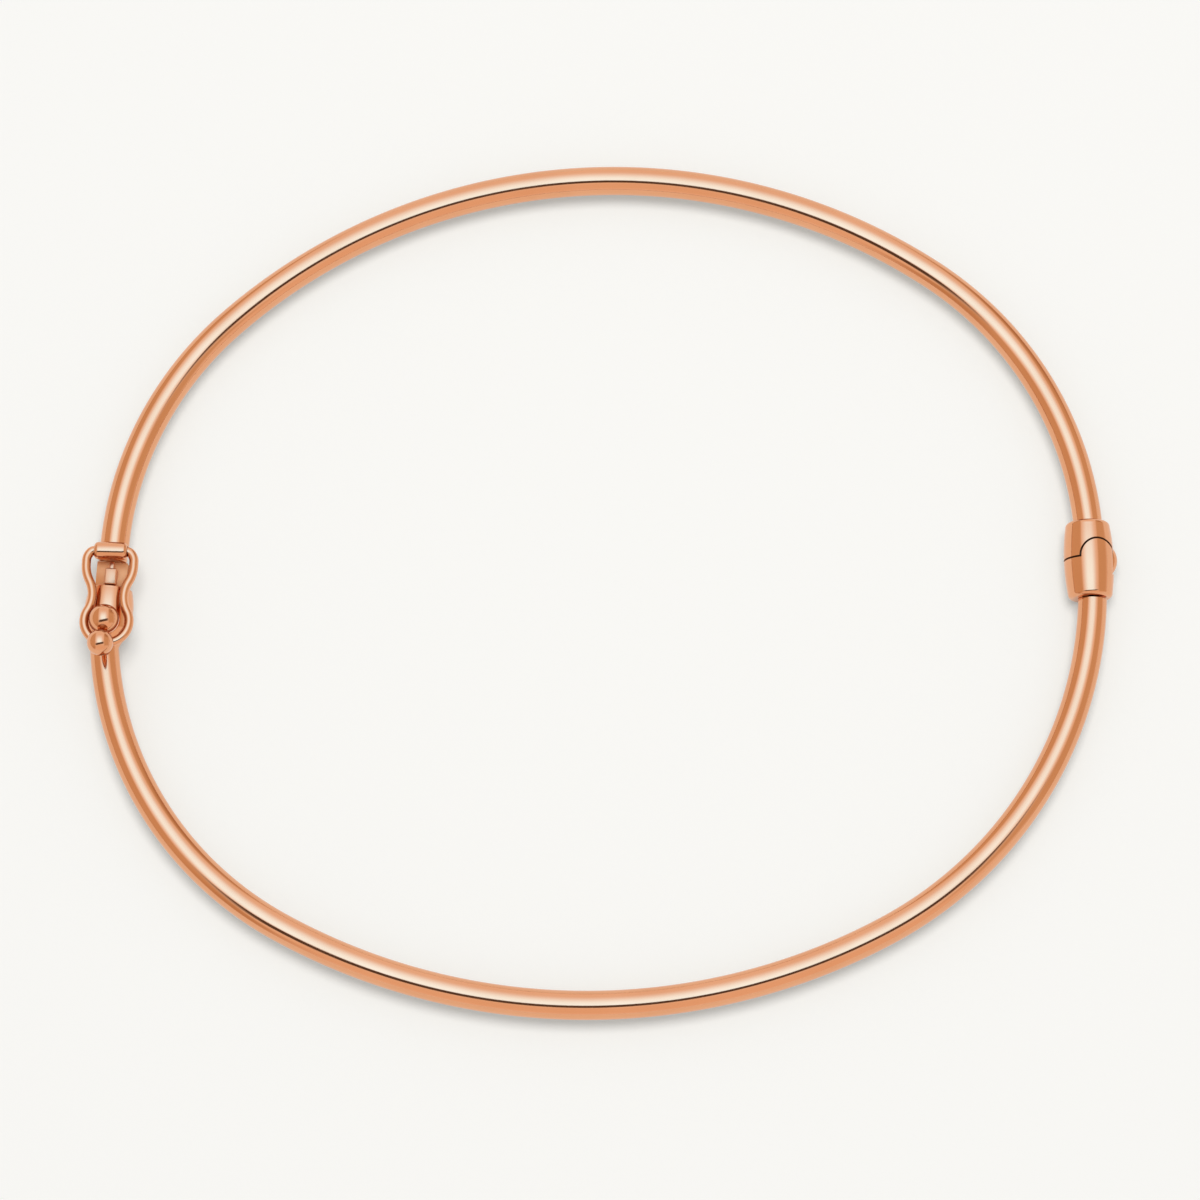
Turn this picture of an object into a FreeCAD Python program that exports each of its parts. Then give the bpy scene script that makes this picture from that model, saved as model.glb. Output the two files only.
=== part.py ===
"""Hinged tube bangle with a three-leaf barrel hinge, a tongue clasp and a figure-8 safety catch.

Millimetres. The bangle lies flat on its side, so +Z points up out of the wrist opening. +X runs from the
clasp to the hinge, and +Y from the lower arm to the upper arm. The origin is under the middle of the
bangle, on the surface that it rests on.
"""
import math
import os

import FreeCAD
import Part
from FreeCAD import Placement, Rotation, Vector

doc = FreeCAD.newDocument("hinged_bangle")

# Driving dimensions: name, value in millimetres or degrees
SIZES = [
    ("tube_radius", 0.95),
    ("tube_bore", 0.65),
    # Upper arm, from its open end at the clasp to the hinge: a straight run, then three bends
    ("upper_end_x", -31.847),
    ("upper_end_y", 1.563),
    ("upper_heading", 84.16),
    ("upper_straight", 1.66),
    ("upper_bend_one", 23.16),
    ("upper_bend_two", 37.45),
    ("upper_bend_three", 23.19),
    ("upper_sweep_one", 41.45),
    ("upper_sweep_two", 76.94),
    ("upper_sweep_three", 52.2),
    # Lower arm, from its end inside the socket to the hinge
    ("lower_end_x", -32.333),
    ("lower_end_y", -3.487),
    ("lower_heading", -84.88),
    ("lower_straight", 1.40),
    ("lower_bend_one", 22.77),
    ("lower_bend_two", 40.92),
    ("lower_bend_three", 26.15),
    ("lower_sweep_one", 55.91),
    ("lower_sweep_two", 57.23),
    ("lower_sweep_three", 60.2),
    # Barrel hinge: the barrel lies along its frame's Y and the pin stands along Z
    ("hinge_x", 32.20),
    ("hinge_y", 1.66),
    ("hinge_lean", 1.27),
    ("barrel_radius", 1.64),
    ("barrel_end_radius", 1.47),
    ("barrel_half_length", 2.57),
    ("barrel_rounding", 0.34),
    ("pin_offset", 0.53),
    ("pin_radius", 0.37),
    ("pin_clearance", 0.03),
    ("pin_foot", 0.30),
    ("pin_top", 2.55),
    ("outer_leaf_radius", 1.13),
    ("middle_leaf_radius", 1.33),
    ("middle_leaf_half", 0.55),
    ("leaf_gap", 0.08),
    ("stop_gap", 0.13),
    # Frame of the spring, and the frame of the socket, which lies along its minus Y
    ("clasp_x", -31.895),
    ("clasp_y", 1.958),
    ("clasp_lean", -4.16),
    ("socket_x", -31.672),
    ("socket_y", 1.958),
    ("socket_lean", -5.53),
    ("socket_mouth", 2.26),
    ("socket_swell", 3.50),
    ("socket_shoulder", 4.70),
    ("socket_end", 6.20),
    ("socket_radius", 1.60),
    ("socket_rim_radius", 1.42),
    ("socket_rim_rounding", 0.12),
    ("socket_bore", 1.24),
    ("socket_bottom", 4.75),
    ("lip_radius", 1.05),
    ("lip_length", 0.34),
    # Safety catch: the barrel that it turns in, the wire and the two beads
    ("catch_x", -31.85),
    ("catch_y", 1.957),
    ("catch_lean", -1.94),
    ("catch_height", 3.10),
    ("catch_barrel_radius", 0.60),
    ("catch_barrel_end_radius", 0.575),
    ("catch_barrel_half_length", 1.10),
    ("catch_barrel_rounding", 0.30),
    ("catch_bore", 0.37),
    ("wire_radius", 0.30),
    ("wire_rise", 4.50),
    ("wire_corner_start", 1.06),
    ("wire_corner_bend", 0.34),
    ("wire_corner_turn", 45),
    ("wire_shoulder_half_width", 1.55),
    ("wire_shoulder_run", 0.30),
    ("wire_waist_half_width", 1.03),
    ("wire_waist_place", 3.12),
    ("wire_lobe_radius", 1.47),
    ("wire_lobe_place", 4.84),
    ("ball_radius", 1.00),
    ("ball_offset", -0.14),
    ("ball_place", 4.76),
    ("ball_height", 3.75),
    ("bead_radius", 0.86),
    ("bead_offset", -0.24),
    ("bead_place", 6.50),
    ("bead_height", 4.50),
    # Folded spring: the fixed lower strip and the thumb leaf above it
    ("spring_offset", 0.16),
    ("strip_thickness", 0.25),
    ("strip_bottom", 1.25),
    ("thumb_leaf_top", 2.35),
    ("shoulder_half_width", 1.00),
    ("tongue_half_width", 0.62),
    ("shoulder_end", 2.14),
    ("strip_start", 0.45),
    ("plug_radius", 0.62),
    ("plug_depth", 1.20),
    ("plug_reach", 0.10),
    ("fold_place", 4.00),
    ("fold_gap", 0.06),
    ("thumb_leaf_start", 0.56),
    ("tooth_start", 2.68),
    ("tooth_length", 0.30),
    ("tooth_half_width", 0.30),
    ("tooth_top", 2.77),
    ("thumb_half_width", 0.39),
    ("thumb_start", 1.10),
    ("thumb_length", 1.09),
    ("thumb_top", 3.00),
    ("thumb_rounding", 0.10),
    ("neck_start", 0.62),
    ("neck_half_width", 0.15),
    ("neck_top", 2.72),
]

sheet = doc.addObject("Spreadsheet::Sheet", "Sizes")
for row, (alias, value) in enumerate(SIZES, start=1):
    sheet.set(f"A{row}", alias)
    sheet.set(f"B{row}", str(value))
    sheet.setAlias(f"B{row}", alias)
doc.recompute()


def size(alias):
    """The number in the named cell."""
    return float(sheet.get(alias))


def frame(name):
    """A frame on the resting surface, turned about Z by its lean."""
    turn = Rotation(Vector(0, 0, 1), size(f"{name}_lean"))
    return Placement(Vector(size(f"{name}_x"), size(f"{name}_y"), 0), turn)


MIDDLE = size("barrel_radius")  # height of the axes of the tubes, the hinge barrel and the socket
SLACK = 0.5  # how far a cutting solid reaches past what it cuts
hinge_frame = frame("hinge")
clasp_frame = frame("clasp")
socket_frame = frame("socket")
catch_frame = frame("catch")


# Solids bound to the sheet


def place(base, x, y, z, turn=Rotation()):
    """A placement given in a frame."""
    return base * Placement(Vector(x, y, z), turn)


def cylinder(name, placement, radius_cell, height, grow=0.0):
    """A round bar along its own Z, its radius a cell of the sheet and a small growth."""
    bar = doc.addObject("Part::Cylinder", name)
    bar.setExpression("Radius", f"<<Sizes>>.{radius_cell} + {grow}")
    bar.Height = height
    bar.Placement = placement
    return bar


def sphere(name, placement, radius_cell):
    """A ball, its radius a cell of the sheet."""
    ball = doc.addObject("Part::Sphere", name)
    ball.setExpression("Radius", f"<<Sizes>>.{radius_cell}")
    ball.Placement = placement
    return ball


def box(name, base, x, y, z):
    """A box between the low and the high value of each axis of a frame."""
    block = doc.addObject("Part::Box", name)
    block.Length = x[1] - x[0]
    block.Width = y[1] - y[0]
    block.Height = z[1] - z[0]
    block.Placement = place(base, x[0], y[0], z[0])
    return block


def fuse(name, parts):
    """One solid made of several that meet."""
    joined = doc.addObject("Part::MultiFuse", name)
    joined.Shapes = parts
    joined.Refine = False
    return joined


def cut(name, base, tool):
    """The base without the tool."""
    rest = doc.addObject("Part::Cut", name)
    rest.Base = base
    rest.Tool = tool
    rest.Refine = False
    return rest


def common(name, parts):
    """What the parts share."""
    shared = doc.addObject("Part::MultiCommon", name)
    shared.Shapes = parts
    shared.Refine = False
    return shared


def line(start, end):
    """A straight edge of a profile in the XY plane."""
    return Part.makeLine(Vector(*start, 0), Vector(*end, 0))


def arc(start, middle, end):
    """A round edge of a profile through three points."""
    return Part.Arc(Vector(*start, 0), Vector(*middle, 0), Vector(*end, 0)).toShape()


def turned(name, placement, edges):
    """A closed half profile beside its own Y, turned once about that Y."""
    profile = doc.addObject("Part::Feature", f"{name}_profile")
    profile.Shape = Part.Wire(edges)
    solid = doc.addObject("Part::Revolution", name)
    solid.Source = profile
    solid.Axis = Vector(0, 1, 0)
    solid.Angle = 360
    solid.Solid = True
    solid.Placement = placement
    return solid


def barrel(name, placement, kind):
    """A round barrel along its own Y, a little fuller in the middle, with rounded ends."""
    half = size(f"{kind}_half_length")
    full = size(f"{kind}_radius")
    end = size(f"{kind}_end_radius")
    rounding = size(f"{kind}_rounding")
    corner = half - rounding
    flat = end - rounding
    slant = rounding * math.sqrt(0.5)
    edges = [
        line((0, -half), (flat, -half)),
        arc((flat, -half), (flat + slant, -corner - slant), (end, -corner)),
        arc((end, -corner), (full, 0), (end, corner)),
        arc((end, corner), (flat + slant, corner + slant), (flat, half)),
        line((flat, half), (0, half)),
        line((0, half), (0, -half)),
    ]
    return turned(name, placement, edges)


def bent_rod(name, base, radius_cell, start, heading, runs):
    """A round rod along straight runs and tangent bends in a frame's XY plane.

    Each run is (bend radius, amount). With no radius it is straight and amount long. With one it turns
    left by amount degrees, or right if the amount is negative.
    """
    pieces = []
    point = Vector(start[0], start[1], 0)
    for count, (bend, amount) in enumerate(runs, start=1):
        along = Vector(math.cos(math.radians(heading)), math.sin(math.radians(heading)), 0)
        if bend is None:
            turn = Rotation(Vector(0, 0, 1), along)
            run_place = base * Placement(point, turn)
            pieces.append(cylinder(f"{name}_run_{count}", run_place, radius_cell, amount))
            point = point + along * amount
            continue
        side = math.copysign(1, amount)
        centre = point + Vector(-along.y, along.x, 0) * side * bend
        first = heading - 90 * side
        rod = doc.addObject("Part::Torus", f"{name}_bend_{count}")
        rod.Radius1 = bend
        rod.setExpression("Radius2", f"<<Sizes>>.{radius_cell}")
        rod.Angle3 = abs(amount)
        begin = first if side > 0 else first + amount
        rod.Placement = base * Placement(centre, Rotation(Vector(0, 0, 1), begin))
        pieces.append(rod)
        last = math.radians(first + amount)
        point = centre + Vector(math.cos(last), math.sin(last), 0) * bend
        heading += amount
    return fuse(name, pieces)


# Tubes of the two arms


def arm_tube(arm, side):
    """The hollow tube of an arm, open at the clasp end and closed by the barrel at the other."""
    heading = size(f"{arm}_heading")
    runs = [(None, size(f"{arm}_straight"))]
    for bend in ("one", "two", "three"):
        runs.append((size(f"{arm}_bend_{bend}"), side * size(f"{arm}_sweep_{bend}")))
    start = (size(f"{arm}_end_x"), size(f"{arm}_end_y"))
    level = Placement(Vector(0, 0, MIDDLE), Rotation())
    outside = bent_rod(f"{arm}_outside", level, "tube_radius", start, heading, runs)
    inside = bent_rod(f"{arm}_inside", level, "tube_bore", start, heading, runs)
    return cut(f"{arm}_tube", outside, inside)


upper_tube = arm_tube("upper", -1)
lower_tube = arm_tube("lower", 1)


# Barrel hinge: each half keeps its side of the barrel and its leaves about the pin

half_leaf = size("middle_leaf_half")
leaf_room = half_leaf + size("leaf_gap")
stop_gap = size("stop_gap")
reach = MIDDLE + SLACK
far = size("barrel_half_length") + SLACK
barrel_place = place(hinge_frame, 0, 0, MIDDLE)


def about_pin(name, radius_cell, low, high, grow=0.0):
    """An upright cylinder about the pin between two heights."""
    foot = place(hinge_frame, size("pin_offset"), 0, low)
    return cylinder(name, foot, radius_cell, high - low, grow)


def half_barrel(name, side):
    """The barrel on one side of the stop gap."""
    low, high = sorted((side * stop_gap / 2, side * far))
    keep = box(f"{name}_side", hinge_frame, (-reach, reach), (low, high), (-SLACK, 2 * reach))
    return common(name, [barrel(f"{name}_round", barrel_place, "barrel"), keep])


bore_growth = size("pin_clearance")
top = 2 * MIDDLE + SLACK
outer_room = fuse(
    "outer_room",
    [
        about_pin("near_room", "outer_leaf_radius", MIDDLE + half_leaf, top, stop_gap),
        about_pin("far_room", "outer_leaf_radius", -SLACK, MIDDLE - half_leaf, stop_gap),
    ],
)
middle_leaf = about_pin("middle_leaf", "middle_leaf_radius", MIDDLE - half_leaf, MIDDLE + half_leaf)
upper_stop = cut("upper_stop", half_barrel("upper_barrel", 1), outer_room)
upper_hinge = fuse("upper_hinge", [upper_stop, middle_leaf])
upper_bore = about_pin("upper_bore", "pin_radius", -SLACK, top, bore_growth)

outer_leaves = common(
    "outer_leaves",
    [
        barrel("leaf_round", barrel_place, "barrel"),
        about_pin("leaf_side", "outer_leaf_radius", -SLACK, top),
    ],
)
lower_stop = fuse("lower_stop", [half_barrel("lower_barrel", -1), outer_leaves])
middle_room = about_pin(
    "middle_room", "middle_leaf_radius", MIDDLE - leaf_room, MIDDLE + leaf_room, stop_gap
)
lower_hinge = cut("lower_hinge", lower_stop, middle_room)
lower_bore = about_pin("lower_bore", "pin_radius", -SLACK, size("pin_top") + 0.05, bore_growth)

pin = about_pin("hinge_pin", "pin_radius", size("pin_foot"), size("pin_top"))


# Upper arm: tube, hinge half and the catch barrel soldered on the tube

ACROSS = Rotation(Vector(0, 0, 1), -90)  # turns a solid's own Y to lie along X
LEVEL = Rotation(Vector(0, 1, 0), 90)  # turns a solid's own Z to lie along X
catch_half = size("catch_barrel_half_length")
catch_place = place(catch_frame, 0, 0, size("catch_height"), ACROSS)
catch_barrel = barrel("catch_barrel", catch_place, "catch_barrel")
bore_place = place(catch_frame, -catch_half - SLACK, 0, size("catch_height"), LEVEL)
catch_bore = cylinder("catch_bore", bore_place, "catch_bore", 2 * (catch_half + SLACK))
upper_solid = fuse("upper_solid", [upper_tube, upper_hinge, catch_barrel])
upper_arm = cut("upper_arm", upper_solid, fuse("upper_bores", [upper_bore, catch_bore]))


# Lower arm: tube, hinge half, the tapered socket and the ball that the catch snaps over

mouth = size("socket_mouth")
shoulder = size("socket_shoulder")
end = size("socket_end")
swell = size("socket_swell")
full = size("socket_radius")
rim = size("socket_rim_radius")
edge = size("socket_rim_rounding")
slim = size("tube_radius")
half_run = (end - shoulder) / 2
half_drop = (full - slim) / 2
taper_bend = (half_run**2 + half_drop**2) / (2 * half_drop)
taper_turn = math.asin(half_run / taper_bend) / 2
taper_in = taper_bend * (1 - math.cos(taper_turn))
taper_down = taper_bend * math.sin(taper_turn)
socket_edges = [
    line((0, -mouth), (rim - edge, -mouth)),
    arc(
        (rim - edge, -mouth),
        (rim - 0.3 * edge, -mouth - 0.3 * edge),
        (rim, -mouth - edge),
    ),
    arc(
        (rim, -mouth - edge),
        (rim + 0.7 * (full - rim), -(mouth + edge + swell) / 2),
        (full, -swell),
    ),
    line((full, -swell), (full, -shoulder)),
    arc(
        (full, -shoulder),
        (full - taper_in, -shoulder - taper_down),
        (full - half_drop, -shoulder - half_run),
    ),
    arc(
        (full - half_drop, -shoulder - half_run),
        (slim + taper_in, -end + taper_down),
        (slim, -end),
    ),
    line((slim, -end), (0, -end)),
    line((0, -end), (0, -mouth)),
]
lip = size("lip_radius")
wide = size("socket_bore")
narrow = size("tube_bore")
behind_lip = mouth + size("lip_length")
bottom = size("socket_bottom")
room_edges = [
    line((0, -mouth + SLACK), (lip, -mouth + SLACK)),
    line((lip, -mouth + SLACK), (lip, -behind_lip)),
    line((lip, -behind_lip), (wide, -behind_lip)),
    line((wide, -behind_lip), (wide, -bottom)),
    line((wide, -bottom), (narrow, -bottom)),
    line((narrow, -bottom), (narrow, -end - 0.1)),
    line((narrow, -end - 0.1), (0, -end - 0.1)),
    line((0, -end - 0.1), (0, -mouth + SLACK)),
]
socket_place = place(socket_frame, 0, 0, MIDDLE)
socket = turned("socket", socket_place, socket_edges)
socket_room = turned("socket_room", socket_place, room_edges)
ball_place = place(catch_frame, size("ball_offset"), -size("ball_place"), size("ball_height"))
ball = sphere("ball", ball_place, "ball_radius")
lower_solid = fuse("lower_solid", [lower_tube, lower_hinge, socket, ball])
lower_arm = cut("lower_arm", lower_solid, fuse("lower_bores", [lower_bore, socket_room]))


# Safety catch: two mirrored halves of bent wire in one rising plane, and the bead on its tip

corner_start = size("wire_corner_start")
corner_bend = size("wire_corner_bend")
corner_turn = size("wire_corner_turn")
shoulder_width = size("wire_shoulder_half_width")
shoulder_run = size("wire_shoulder_run")
waist = size("wire_waist_half_width")
waist_place = size("wire_waist_place")
lobe = size("wire_lobe_radius")
lobe_place = size("wire_lobe_place")
# From the barrel to the shoulder: a tight bend, then a wider one that ends at the shoulder's width
corner_out = math.sin(math.radians(corner_turn))
corner_down = math.cos(math.radians(corner_turn))
wide_bend = (shoulder_width - corner_start - corner_bend * corner_out) / (1 - corner_out)
shoulder_place = corner_bend * (1 - corner_down) + wide_bend * corner_down + shoulder_run
# From the shoulder to the waist: two equal and opposite bends
step_in = shoulder_width - waist
step_down = waist_place - shoulder_place
step_turn = math.degrees(2 * math.atan2(step_in, step_down))
step_bend = step_down / (2 * math.sin(math.radians(step_turn)))
# From the waist outward: one bend that meets the round lobe tangentially
drop = lobe_place - waist_place
flare_bend = (drop**2 + waist**2 - lobe**2) / (2 * (lobe - waist))
flare_turn = math.degrees(math.asin(drop / (flare_bend + lobe)))
wire_runs = [
    (None, corner_start),
    (corner_bend, -corner_turn),
    (wide_bend, corner_turn - 90),
    (None, shoulder_run),
    (step_bend, -step_turn),
    (step_bend, step_turn),
    (flare_bend, flare_turn),
    (lobe, -90 - flare_turn),
]
mirrored_runs = [(bend, -amount if bend else amount) for bend, amount in wire_runs]
rise = Rotation(Vector(1, 0, 0), -size("wire_rise"))
wire_plane = place(catch_frame, 0, 0, size("catch_height"), rise)
right_wire = bent_rod("right_wire", wire_plane, "wire_radius", (0, 0), 0, wire_runs)
left_wire = bent_rod("left_wire", wire_plane, "wire_radius", (0, 0), 180, mirrored_runs)
bead_place = place(catch_frame, size("bead_offset"), -size("bead_place"), size("bead_height"))
bead = sphere("bead", bead_place, "bead_radius")
catch_loop = fuse("catch_loop", [right_wire, left_wire, bead])


# Spring tongue: a round plug in the tube, the lower strip and the fold at its far end

offset = size("spring_offset")
broad = size("shoulder_half_width")
tongue = size("tongue_half_width")
strip = size("strip_thickness")
strip_low = size("strip_bottom")
leaf_high = size("thumb_leaf_top")
strip_start = size("strip_start")
shoulder_end = size("shoulder_end")
fold = size("fold_place")
fold_middle = (strip_low + leaf_high) / 2
fold_radius = (leaf_high - strip_low) / 2
heading = size("upper_heading")
plug_turn = Rotation(Vector(0, 0, 1), heading - 90) * Rotation(Vector(1, 0, 0), 90)
plug_depth = size("plug_depth")
plug_base = Placement(
    Vector(size("upper_end_x"), size("upper_end_y"), MIDDLE), Rotation(Vector(0, 0, 1), heading - 90)
)
plug_place = place(plug_base, 0, plug_depth, 0, Rotation(Vector(1, 0, 0), 90))
plug = cylinder("plug", plug_place, "plug_radius", plug_depth + size("plug_reach"))
strip_z = (strip_low, strip_low + strip)
broad_strip = box(
    "broad_strip", clasp_frame, (offset - broad, offset + broad), (-shoulder_end, -strip_start), strip_z
)
tongue_strip = box(
    "tongue_strip", clasp_frame, (offset - tongue, offset + tongue), (-fold, -shoulder_end), strip_z
)


def fold_round(name, radius):
    """A round bar across the tongue at the middle of the fold."""
    bar = doc.addObject("Part::Cylinder", name)
    bar.Radius = radius
    bar.Height = 2 * tongue
    bar.Placement = place(clasp_frame, offset - tongue, -fold, fold_middle, LEVEL)
    return bar


fold_ring = cut(
    "fold_ring", fold_round("fold_outer", fold_radius), fold_round("fold_inner", fold_radius - strip)
)
fold_keep = box(
    "fold_keep",
    clasp_frame,
    (offset - tongue, offset + tongue),
    (-fold - fold_radius - SLACK, -fold),
    (strip_low - SLACK, leaf_high + SLACK),
)
fold_half = common("fold_half", [fold_ring, fold_keep])
spring_tongue = fuse("spring_tongue", [plug, broad_strip, tongue_strip, fold_half])


# Thumb leaf: the strip above, the tooth behind the socket's lip and the raised thumb piece

leaf_z = (leaf_high - strip, leaf_high)
leaf_start = size("thumb_leaf_start")
thumb = size("thumb_half_width")
thumb_start = size("thumb_start")
thumb_end = thumb_start + size("thumb_length")
neck = size("neck_half_width")
tooth = size("tooth_half_width")
tooth_start = size("tooth_start")
broad_leaf = box(
    "broad_leaf", clasp_frame, (offset - broad, offset + broad), (-shoulder_end, -leaf_start), leaf_z
)
tongue_leaf = box(
    "tongue_leaf",
    clasp_frame,
    (offset - tongue, offset + tongue),
    (-fold + size("fold_gap"), -shoulder_end),
    leaf_z,
)
tooth_block = box(
    "tooth_block",
    clasp_frame,
    (offset - tooth, offset + tooth),
    (-tooth_start - size("tooth_length"), -tooth_start),
    (leaf_high - strip / 2, size("tooth_top")),
)
thumb_block = box(
    "thumb_block",
    clasp_frame,
    (offset - thumb, offset + thumb),
    (-thumb_end, -thumb_start),
    (leaf_high - strip / 2, size("thumb_top")),
)
neck_block = box(
    "neck_block",
    clasp_frame,
    (offset - neck, offset + neck),
    (-thumb_start - thumb / 2, -size("neck_start")),
    (leaf_high - strip / 2, size("neck_top")),
)
doc.recompute()
rounded_edges = []
for number, block_edge in enumerate(thumb_block.Shape.Edges, start=1):
    if block_edge.CenterOfMass.z > thumb_block.Shape.BoundBox.ZMin + 0.01:
        rounded_edges.append((number, size("thumb_rounding"), size("thumb_rounding")))
thumb_piece = doc.addObject("Part::Fillet", "thumb_piece")
thumb_piece.Base = thumb_block
thumb_piece.Edges = rounded_edges
thumb_leaf = fuse("thumb_leaf", [broad_leaf, tongue_leaf, tooth_block, thumb_piece, neck_block])

doc.recompute()

NODES = {
    "upper_arm": upper_arm,
    "lower_arm": lower_arm,
    "hinge_pin": pin,
    "spring_tongue": spring_tongue,
    "thumb_leaf": thumb_leaf,
    "catch_loop": catch_loop,
}
for made in doc.Objects:
    if "Invalid" in made.State or "Error" in made.State:
        raise RuntimeError(f"{made.Label} did not compute")
os.makedirs("parts", exist_ok=True)
for label, node in NODES.items():
    node.Label = label
    shape = node.Shape
    if shape.isNull() or not shape.isValid() or len(shape.Solids) != 1:
        raise RuntimeError(f"{label} is not one valid solid")
    span = shape.BoundBox
    print(
        f"{label}: {shape.Volume:.3f} mm3, x {span.XMin:.2f} to {span.XMax:.2f},"
        f" y {span.YMin:.2f} to {span.YMax:.2f}, z {span.ZMin:.2f} to {span.ZMax:.2f}"
    )
    shape.exportStep(f"parts/{label}.step")
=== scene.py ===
# %% [markdown]
# # A hinged tube bangle in rose gold
# The imported CAD model comes in first. It says where every piece sits and how it moves, and its outer box
# is the size that the finished bangle may not leave.

# %% The frame
import math

import bmesh
import bpy
import numpy as np
from mathutils import Matrix, Vector


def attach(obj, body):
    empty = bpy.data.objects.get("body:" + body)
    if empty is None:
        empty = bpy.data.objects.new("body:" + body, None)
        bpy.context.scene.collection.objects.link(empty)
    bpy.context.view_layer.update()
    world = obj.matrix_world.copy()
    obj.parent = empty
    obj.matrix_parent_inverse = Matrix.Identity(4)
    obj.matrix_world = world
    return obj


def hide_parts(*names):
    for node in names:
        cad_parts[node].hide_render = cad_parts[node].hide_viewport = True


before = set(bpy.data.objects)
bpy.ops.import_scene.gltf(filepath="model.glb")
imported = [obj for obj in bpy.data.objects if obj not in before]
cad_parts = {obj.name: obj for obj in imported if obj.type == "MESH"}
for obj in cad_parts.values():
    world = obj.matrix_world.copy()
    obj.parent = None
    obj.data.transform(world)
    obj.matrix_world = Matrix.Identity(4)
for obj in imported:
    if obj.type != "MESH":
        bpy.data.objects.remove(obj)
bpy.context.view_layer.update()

MM = 0.001

# %% [markdown]
# The camera looks down steeply, as a jewellery photographer's does from above a table. A long lens keeps
# the far and the near side of the bangle at almost the same scale.

# %% The camera
TILT = math.radians(14)
TARGET = Vector((0.13, -0.98, 1.64)) * MM
DISTANCE = 393 * MM
camera_data = bpy.data.cameras.new("camera")
camera_data.lens = 180
camera_data.sensor_width = 36
camera_data.clip_start = 0.01
camera = bpy.data.objects.new("camera", camera_data)
camera.location = TARGET + DISTANCE * Vector((0, -math.sin(TILT), math.cos(TILT)))
camera.rotation_euler = (TILT, 0, 0)
bpy.context.scene.collection.objects.link(camera)
bpy.context.scene.camera = camera
print("camera height", round(camera.location.z, 3))

# %% [markdown]
# Polished metal shows every facet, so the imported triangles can't stay in view. Each piece is worked out
# again as a fine grid of points. The grid's rows are joined with quads, points that fall together at a
# pole or a seam are merged, and edges sharper than 35 degrees stay crisp while the rest is shaded smooth.


# %% From a grid of points to a mesh
SHARP = math.radians(35)


def grid_faces(rows, columns, closed_rows):
    """Quads between neighbouring rows and columns; columns always wrap, rows only if closed_rows."""
    last = rows if closed_rows else rows - 1
    row, column = np.meshgrid(np.arange(last), np.arange(columns), indexing="ij")
    below, beside = (row + 1) % rows, (column + 1) % columns
    corners = [(row, column), (row, beside), (below, beside), (below, column)]
    return np.stack([r * columns + c for r, c in corners], axis=-1).reshape(-1, 4)


def finish_mesh(mesh):
    """Merges points that meet, turns faces outward and marks the sharp edges."""
    work = bmesh.new()
    work.from_mesh(mesh)
    bmesh.ops.remove_doubles(work, verts=work.verts, dist=1e-7)
    bmesh.ops.recalc_face_normals(work, faces=work.faces)
    work.to_mesh(mesh)
    work.free()
    mesh.shade_smooth()
    mesh.set_sharp_from_angle(angle=SHARP)


def piece(name, grids):
    """One object made of several grids; each is (points in mm as rows x columns x 3, rows closed or not)."""
    points, faces, offset = [], [], 0
    for grid, closed_rows in grids:
        rows, columns = grid.shape[:2]
        points.append(grid.reshape(-1, 3))
        faces.append(grid_faces(rows, columns, closed_rows) + offset)
        offset += rows * columns
    mesh = bpy.data.meshes.new(name)
    mesh.from_pydata((np.concatenate(points) * MM).tolist(), [], np.concatenate(faces).tolist())
    finish_mesh(mesh)
    made = bpy.data.objects.new(name, mesh)
    bpy.context.scene.collection.objects.link(made)
    print(name, len(mesh.vertices), "points")
    return made


print("edges sharper than", round(math.degrees(SHARP)), "degrees stay crisp")

# %% [markdown]
# Almost everything here is round: tube, wire, barrels, socket and beads. One function draws them all. It
# carries a circle along a path, and the circle's radius may change on the way, so a straight path gives a
# turned shape and a bent path gives a tube.

# %% A circle carried along a path


def carried_circle(centres, sideways, upward, radii, around=96):
    """Points centre + radius * (cos a * sideways + sin a * upward), for each row and each angle a."""
    angle = np.linspace(0, 2 * np.pi, around, endpoint=False)
    ring = np.cos(angle)[None, :, None] * sideways[:, None] + np.sin(angle)[None, :, None] * upward[:, None]
    return centres[:, None] + radii[:, None, None] * ring


def turned(frame_matrix, profile, around=96):
    """A profile of (distance along Y, radius) rows, turned about the Y of a frame."""
    profile = np.asarray(profile, dtype=float)
    rows = len(profile)
    along = np.array([frame_matrix[i][1] for i in range(3)])
    across = np.array([frame_matrix[i][0] for i in range(3)])
    upward = np.array([frame_matrix[i][2] for i in range(3)])
    origin = np.array(frame_matrix.translation)
    centres = origin + profile[:, :1] * along
    return carried_circle(
        centres, np.tile(across, (rows, 1)), np.tile(upward, (rows, 1)), profile[:, 1], around
    )


sleeve = turned(Matrix(), [(0, 1), (1, 1)])
print("a test sleeve has", sleeve.shape[0], "rings of", sleeve.shape[1], "points")

# %% [markdown]
# Paths and profiles are drawn the way a jeweller bends wire: straight runs and round bends that flow into
# each other. A spline would also do, but with bends every radius is known and the surface stays even, so
# reflections run along it without a wobble.

# %% Paths and curves


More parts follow.
